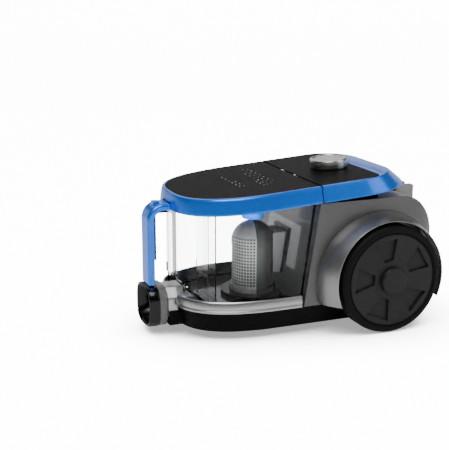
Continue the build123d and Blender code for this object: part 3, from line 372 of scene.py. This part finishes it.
def makeKnob():
    # a profile from the middle of the dish over the ring and down the side, turned about the deck's normal
    r, top, ring, c = knob["radius"], knob["high"], knob["ring"], knob["chamfer"]
    low, dish = knob["low"], knob["high"] - knob["dish"]
    centre = fromDeck(np.array([knob["at"]]), 0.0, np.array([0.0]))[0]
    axis = (-math.sin(tilt), 0, math.cos(tilt))
    start = (math.cos(tilt), 0, math.sin(tilt))
    profile = [(0.02, dish - 0.25), (r * 0.4, dish - 0.15), (r - ring - 1.0, dish),
               (r - ring - 0.2, dish + 0.25), (r - ring, top - 0.3), (r - ring + 0.4, top),
               (r - c - 0.3, top), (r - c * 0.6, top - 0.3),
               (r - 0.1, top - c - 0.2), (r, top - c - 1.0), (r, low + 1.2), (r - 0.5, low + 0.9),
               (r - 0.5, low + 0.3), (r - 1.0, low), (4.0, low)]
    piece = lathe("knobCap", profile[::-1], "power_knob", brushedKnob,
                  centre, axis, start, 128)
    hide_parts("speed_knob")


# filter: round-topped cylinder; its material draws the fine holes, on the front part only
meshFilter = {"x": -44.0, "radius": 30.0, "low": 44.0, "straight": 69.0, "holePitch": 4.4, "holeRadius": 1.55,
              "rowsLow": 52.0, "rowsHigh": 124.0, "spread": 75.0}


def perforated(name):
    # a hole where the distance to the middle of its cell, round the cylinder and up, is under the hole radius
    material, tree, shader, where = newMaterial(name)
    separate = tree.nodes.new("ShaderNodeSeparateXYZ")
    tree.links.new(where, separate.inputs[0])

    def calc(operation, *values):
        node = tree.nodes.new("ShaderNodeMath")
        node.operation = operation
        for socket, value in zip(node.inputs, values):
            if isinstance(value, (int, float)):
                socket.default_value = value
            else:
                tree.links.new(value, socket)
        return node.outputs[0]

    x = calc("SUBTRACT", separate.outputs["X"], meshFilter["x"] * mm)
    angle = calc("ARCTAN2", separate.outputs["Y"], calc("MULTIPLY", x, -1.0))
    pitch = meshFilter["holePitch"]
    along = calc("SUBTRACT", calc("FRACT", calc("MULTIPLY", angle, meshFilter["radius"] / pitch)), 0.5)
    up = calc("SUBTRACT", calc("FRACT", calc("MULTIPLY", separate.outputs["Z"], 1.0 / (pitch * mm))), 0.5)
    distance = calc("SQRT", calc("ADD", calc("MULTIPLY", along, along), calc("MULTIPLY", up, up)))
    edge = meshFilter["holeRadius"] / pitch
    hole = ramp(tree, distance, edge - 0.05, edge + 0.03, 1.0, 0.0)
    inRows = calc("MULTIPLY", calc("GREATER_THAN", separate.outputs["Z"], meshFilter["rowsLow"] * mm),
                  calc("LESS_THAN", separate.outputs["Z"], meshFilter["rowsHigh"] * mm))
    inFront = calc("LESS_THAN", calc("ABSOLUTE", angle), math.radians(meshFilter["spread"]))
    hole = calc("MULTIPLY", hole, calc("MULTIPLY", inRows, inFront))
    grain = noiseAt(tree, where, 900.0, 2.0)
    behind = calc("GREATER_THAN", calc("ABSOLUTE", angle), math.radians(meshFilter["spread"] + 3.0))
    steel = mixColour(tree, grain, (0.42, 0.42, 0.42), (0.52, 0.52, 0.52))
    base = mixColour(tree, behind, steel, (0.10, 0.10, 0.10))
    tree.links.new(mixColour(tree, hole, base, (0.015, 0.015, 0.015)), shader.inputs["Base Color"])
    tree.links.new(ramp(tree, hole, 0.0, 1.0, 0.75, 0.0), shader.inputs["Metallic"])
    tree.links.new(ramp(tree, grain, 0.3, 0.7, 0.28, 0.36), shader.inputs["Roughness"])
    softEdges(tree, shader, 0.4 * mm, calc("SUBTRACT", grain, calc("MULTIPLY", hole, 4.0)), 0.5, 0.0004)
    return material


def makeMeshFilter():
    # a foot collar, a straight wall and a quarter circle for the dome, turned about the upright axis
    r, low = meshFilter["radius"], meshFilter["low"]
    shoulder = low + meshFilter["straight"]
    turn = np.linspace(0, math.pi / 2 - 0.01, 14)
    dome = [(r * math.cos(a), shoulder + r * math.sin(a)) for a in turn]
    ribs = [(r, low), (r, low + 6.5), (r - 0.8, low + 7.2), (r - 0.8, shoulder - 4.0), (r, shoulder - 3.0)]
    piece = lathe("filterScreen", ribs + dome, "dust_bin", perforatedSteel,
                  (meshFilter["x"], 0, 0), (0, 0, 1), (1, 0, 0), 96)
    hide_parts("mesh_filter")


axleX = 106.0

# tyre: rounded shoulders, shallow tread grooves, a step down to the disc
tyre = {"radius": 75.0, "seat": 63.2, "inner": 98.0, "outer": 132.0, "shoulder": 7.0,
        "grooves": 3, "groovePitch": 5.0}


def makeTyre(side, word):
    # quarter circles for the shoulders, three grooves in the tread, turned about the axle
    r, a, b, s, seat = tyre["radius"], tyre["inner"], tyre["outer"], tyre["shoulder"], tyre["seat"]
    turn = np.linspace(0, math.pi / 2, 9)
    profile = [(seat, a), (r - s, a)] + [(r - s + s * math.sin(t), a + s - s * math.cos(t)) for t in turn[1:]]
    for k in range(tyre["grooves"]):
        mid = a + s + (k + 1) * tyre["groovePitch"]
        profile += [(r, mid - 0.9), (r - 0.7, mid - 0.5), (r - 0.7, mid + 0.5), (r, mid + 0.9)]
    profile += [(r - s + s * math.cos(t), b - s + s * math.sin(t)) for t in turn]
    profile += [(seat + 3.2, b), (seat + 2.6, b - 0.4), (seat + 2.2, b - 1.4), (seat + 1.6, b - 1.4),
                (seat + 1.2, b - 0.3), (seat, b - 0.6)]
    profile = [(radius, side * along) for radius, along in profile]
    piece = lathe(word + "TyreRing", profile + profile[:1], word + "_wheel", darkRubber,
                  (axleX, 0, tyre["radius"]), (0, 1, 0), (1, 0, 0), 128)
    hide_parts(word + "_tyre")


# hose collar and ring: rounded-square sections along X
inlet = {"z": 39.0, "squareness": 3.3,
         "collar": ((-178.0, 20.5, 20.5), (-190.0, 22.6, 22.6), (-199.0, 24.6, 23.8), (-204.6, 27.0, 25.4),
                    (-205.7, 27.9, 26.2), (-206.0, 28.8, 27.0), (-205.6, 29.8, 27.9), (-204.4, 30.6, 28.6),
                    (-193.0, 31.0, 29.0), (-191.6, 30.7, 28.7), (-191.0, 29.8, 27.9), (-191.0, 25.4, 24.4),
                    (-178.0, 25.0, 24.0)),
         "ring": ((-190.9, 25.4, 24.4), (-190.9, 29.4, 27.4), (-190.2, 30.2, 28.2), (-181.2, 30.2, 28.2),
                  (-180.2, 29.6, 27.7), (-180.0, 25.4, 24.4))}


def makeInletPiece(name, rows, nodeName, material):
    # each row is (x, half width, half height): a circle where the halves are equal, else a superellipse
    angle = np.linspace(0, 2 * math.pi, 72, endpoint=False)
    c, s = np.cos(angle), np.sin(angle)
    grid = []
    for x, w, h in rows + rows[:1]:
        power = 1.0 if w == h else 2.0 / inlet["squareness"]
        y = w * np.sign(c) * np.abs(c) ** power
        z = h * np.sign(s) * np.abs(s) ** power
        grid.append(np.stack([np.full_like(y, x), y, inlet["z"] + z], -1))
    piece = surface(name, np.array(grid), "main_body", material)
    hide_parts(nodeName)


# wheel arch: a band round the wheel, wider at its front foot; angles run from the rear over the top
arch = {"centre": (106.0, 75.0), "foot": 32.0, "lip": 79.8, "inner": 95.2, "outer": 128.0, "back": 197.5,
        "sections": 90, "first": -19.0, "sweep": 217.0,
        "angles": (-25, 0, 30, 60, 93, 110, 129, 144, 162, 187, 205),
        "edges": (88, 88, 88, 88.5, 88.5, 88.5, 90, 93, 95, 97, 99)}


def makeArch(side, word):
    # every section runs from the shell side out to the lip and back along the inside
    share = np.array([0.0, 0.12, 0.3, 0.5, 0.7, 0.86, 0.95, 1.0])
    turns = np.linspace(0, 1, arch["sections"])
    rows = []
    for t in turns:
        nominal = arch["first"] + t * arch["sweep"]
        edge = np.interp(nominal, arch["angles"], arch["edges"])
        y = list(arch["inner"] + (arch["outer"] - arch["inner"]) * share ** 0.95)
        r = list(edge - (edge - arch["lip"] - 1.2) * share ** 1.7)
        y += [arch["outer"] + 0.2, arch["outer"] - 0.8, arch["outer"] - 5.0, arch["inner"]]
        r += [arch["lip"] + 0.5, arch["lip"], arch["lip"] + 1.0, edge - 3.0]
        y, r = np.array(y), np.array(r)
        foot = np.degrees(np.arcsin(arch["foot"] / r))
        angle = np.radians(-foot + t * (180.0 + 2 * foot))
        x = np.minimum(arch["centre"][0] + r * np.cos(angle), arch["back"])
        rows.append(np.stack([x, side * y, arch["centre"][1] + r * np.sin(angle)], -1))
    piece = surface(word + "WheelArch", np.array(rows), "main_body", archPaint, capEnds=True)
    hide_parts(word + "_fender")


# base band: a bright sloping face, a fine groove and a narrow lip below it
band = {"front": -168.0, "full": -34.0, "half": 95.0, "gapHalf": 29.6, "end": -12.2,
        "profile": ((-1.4, 56.4), (0.2, 56.5), (1.0, 55.9), (1.7, 53.5), (2.4, 48.5), (2.6, 46.4),
                    (2.2, 45.6), (1.5, 45.4), (1.5, 44.6), (2.3, 44.3), (2.8, 43.6), (2.8, 41.6),
                    (2.3, 40.6), (1.6, 40.3),
                    (-1.4, 40.3))}


def makeBand(side, word):
    # the superellipse of the nose grown by each profile point, from the inlet gap to the end of the bin
    rows = []
    for out, z in band["profile"]:
        reach = band["full"] - band["front"] + out
        start = math.asin((band["gapHalf"] / (band["half"] + out)) ** (lidRim["power"] / 2))
        t = np.linspace(start, math.pi / 2, 40)
        x = band["full"] - reach * np.cos(t) ** (2 / lidRim["power"])
        y = (band["half"] + out) * np.sin(t) ** (2 / lidRim["power"])
        x = np.concatenate([x, [band["full"] + 10.0, band["end"]]])
        y = np.concatenate([y, [band["half"] + out] * 2])
        rows.append(np.stack([x, side * y, np.full_like(x, z)], -1))
    grid = np.stack(rows, 1)
    piece = surface(word + "BaseBand", grid, "main_body", silverPaint, capEnds=True)
    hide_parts(word + "_base_band")


# blue plug under the lid, over the filter
plug = {"x": -44.0, "radius": 16.0, "low": 146.0, "high": 195.0}


def makePlug():
    # a rounded-edge disc face and a straight side, turned about the filter's axis
    r, low = plug["radius"], plug["low"]
    profile = [(0.02, low), (r - 3.0, low), (r - 1.0, low + 0.5), (r - 0.4, low + 1.8), (r, low + 8.0),
               (r, plug["high"]), (0.02, plug["high"])]
    lathe("filterPlug", profile, "lid", blueGloss, (plug["x"], 0, 0), (0, 0, 1), (1, 0, 0), 64)


# printed marks: rows of plain dashes on the lid panel, (along, first across, last across, count, length)
marks = {"rows": ((-90.0, -34.0, 30.0, 6, 7.0), (-84.0, -34.0, -6.0, 3, 8.0), (-60.0, -46.0, -22.0, 3, 5.0),
                  (-54.0, -44.0, 30.0, 6, 6.5), (-47.0, -40.0, 58.0, 8, 5.5), (-40.0, -30.0, 56.0, 7, 7.0)),
         "width": 1.1, "lift": 0.05}


def makeMarks():
    # one flat quad for each dash, its length taking three values in turn
    points = []
    across = np.array([0.0, marks["width"], marks["width"], 0.0])
    ends = np.array([0.0, 0.0, 0.5, 0.5])
    for u, first, last, count, length in marks["rows"]:
        for k, y in enumerate(np.linspace(first, last, count)):
            long = length * (0.7 + 0.3 * ((k * 7) % 3))
            points.append(fromDeck(u + across, y + long * ends, np.full(4, marks["lift"])) * mm)
    points = np.concatenate(points)
    faces = np.arange(len(points)).reshape(-1, 4).tolist()
    mesh = bpy.data.meshes.new("panelMarks")
    mesh.from_pydata(points.tolist(), [], faces)
    mesh.update()
    mesh.materials.append(markPrint)
    piece = bpy.data.objects.new("panelMarks", mesh)
    bpy.context.scene.collection.objects.link(piece)
    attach(piece, "lid")


markPrint = plastic("markPrint", (0.55, 0.55, 0.55), rough=0.5, bump=0.02)
brushedKnob = brushed("brushedKnob", (0.74, 0.73, 0.71), 0.26, (60.0, 60.0, 5000.0))
perforatedSteel = perforated("perforatedSteel")
makeLidRim()
makeBodyRim()
makeKnob()
makeMeshFilter()
for side, word in ((-1, "left"), (1, "right")):
    makeTyre(side, word)
    makeArch(side, word)
    makeBand(side, word)
makePlug()
makeMarks()
makeInletPiece("hoseCollar", inlet["collar"], "inlet_collar", glossBlack)
makeInletPiece("collarRing", inlet["ring"], "inlet_ring", smokePlastic)
print("new pieces made")

# floor, light and camera, in metres; floorShown is how bright the floor and sky look to the camera
studio = {
    "floorColour": (0.92, 0.92, 0.92), "floorGlow": 0.35, "floorShown": 14.0, "shadowReach": 0.1,
    "floorReach": 2.0, "floorBend": 0.3, "wallTop": 0.9, "floorTurn": -22.0,
    "worldLow": 0.08, "worldHigh": 1.5, "keyPower": 30.0, "fillPower": 10.0, "rimPower": 8.0,
    "cameraPlace": (-0.5839, -1.2460, 0.4803), "cameraAim": (-0.0862, 0.0, 0.13915), "lens": 80.0,
}


def makeFloor():
    # pale floor that curves up into a wall far behind; brighter to the camera, and through clear plastic,
    # than onto the object, and dimmed near it by how much of its sky is hidden
    floorMaterial, tree, shader, where = newMaterial("paleFloor")
    dust = noiseAt(tree, where, 30.0, 3.0)
    base = studio["floorColour"]
    tree.links.new(mixColour(tree, dust, tuple(c * 0.99 for c in base), base), shader.inputs["Base Color"])
    setInputs(shader, Roughness=0.8, Specular_IOR_Level=0.1)
    path = tree.nodes.new("ShaderNodeLightPath")
    seen = tree.nodes.new("ShaderNodeMath")
    seen.operation = "MAXIMUM"
    straight = tree.nodes.new("ShaderNodeMath")
    straight.operation = "LESS_THAN"
    straight.inputs[1].default_value = 0.5
    tree.links.new(path.outputs["Glossy Depth"], straight.inputs[0])
    through = tree.nodes.new("ShaderNodeMath")
    through.operation = "MULTIPLY"
    tree.links.new(path.outputs["Is Transmission Ray"], through.inputs[0])
    tree.links.new(straight.outputs[0], through.inputs[1])
    tree.links.new(path.outputs["Is Camera Ray"], seen.inputs[0])
    tree.links.new(through.outputs[0], seen.inputs[1])
    shade = tree.nodes.new("ShaderNodeAmbientOcclusion")
    shade.samples = 12
    shade.inputs["Distance"].default_value = studio["shadowReach"]
    openShare = ramp(tree, shade.outputs["AO"], 0.35, 0.97, 0.03, 1.0)
    glow = tree.nodes.new("ShaderNodeMath")
    glow.operation = "MULTIPLY"
    level = ramp(tree, seen.outputs[0], 0.0, 1.0, studio["floorGlow"], studio["floorShown"])
    tree.links.new(level, glow.inputs[0])
    tree.links.new(openShare, glow.inputs[1])
    tree.links.new(glow.outputs[0], shader.inputs["Emission Strength"])
    shader.inputs["Emission Color"].default_value = (1.0, 1.0, 1.0, 1.0)
    bend = np.linspace(0, math.pi / 2, 13)
    reach, radius = studio["floorReach"], studio["floorBend"]
    along = np.concatenate([[-4.0], reach + radius * np.sin(bend), [reach + radius]])
    up = np.concatenate([[0.0], radius * (1 - np.cos(bend)), [studio["wallTop"]]])
    across = np.array([-6.0, 6.0])
    points = [(x, y, z) for y, z in zip(along, up) for x in across]
    faces = [(2 * k, 2 * k + 1, 2 * k + 3, 2 * k + 2) for k in range(len(along) - 1)]
    mesh = bpy.data.meshes.new("studioFloor")
    mesh.from_pydata(points, [], faces)
    mesh.update()
    mesh.polygons.foreach_set("use_smooth", [True] * len(mesh.polygons))
    mesh.materials.append(floorMaterial)
    floor = bpy.data.objects.new("studioFloor", mesh)
    bpy.context.scene.collection.objects.link(floor)
    floor.rotation_euler = (0, 0, math.radians(studio["floorTurn"]))


def areaLight(name, place, aim, size, power):
    # a square lamp at place, turned to face aim
    light = bpy.data.lights.new(name, "AREA")
    light.energy, light.size = power, size
    lamp = bpy.data.objects.new(name, light)
    lamp.location = place
    lamp.rotation_euler = (Vector(aim) - Vector(place)).to_track_quat("-Z", "Y").to_euler()
    bpy.context.scene.collection.objects.link(lamp)


makeFloor()
world = bpy.data.worlds.new("studioWorld")
world.use_nodes = True
skyTree = world.node_tree
skyCoords = skyTree.nodes.new("ShaderNodeTexCoord")
skySplit = skyTree.nodes.new("ShaderNodeSeparateXYZ")
skyTree.links.new(skyCoords.outputs["Generated"], skySplit.inputs[0])
skyLevel = ramp(skyTree, skySplit.outputs["Z"], 0.25, 0.8, studio["worldLow"], studio["worldHigh"])
skyPath = skyTree.nodes.new("ShaderNodeLightPath")
skyShown = skyTree.nodes.new("ShaderNodeMath")
skyShown.operation = "MULTIPLY_ADD"
skyShown.inputs[1].default_value = studio["floorShown"]
skyTree.links.new(skyPath.outputs["Is Camera Ray"], skyShown.inputs[0])
skyTree.links.new(skyLevel, skyShown.inputs[2])
skyTree.links.new(skyShown.outputs[0], skyTree.nodes["Background"].inputs["Strength"])
bpy.context.scene.world = world
areaLight("keyLight", (-0.5, -0.9, 1.7), (0, 0, 0.1), 1.2, studio["keyPower"])
areaLight("fillLight", (1.5, -1.2, 0.9), (0, 0, 0.1), 1.4, studio["fillPower"])
areaLight("backLight", (0.2, 1.4, 1.5), (0, 0, 0.1), 1.6, studio["rimPower"])

camera = bpy.data.cameras.new("camera")
camera.lens, camera.sensor_width = studio["lens"], 36.0
cameraObject = bpy.data.objects.new("camera", camera)
cameraObject.location = studio["cameraPlace"]
aim = Vector(studio["cameraAim"]) - Vector(studio["cameraPlace"])
cameraObject.rotation_euler = aim.to_track_quat("-Z", "Y").to_euler()
bpy.context.scene.collection.objects.link(cameraObject)
bpy.context.scene.camera = cameraObject
print("studio ready")
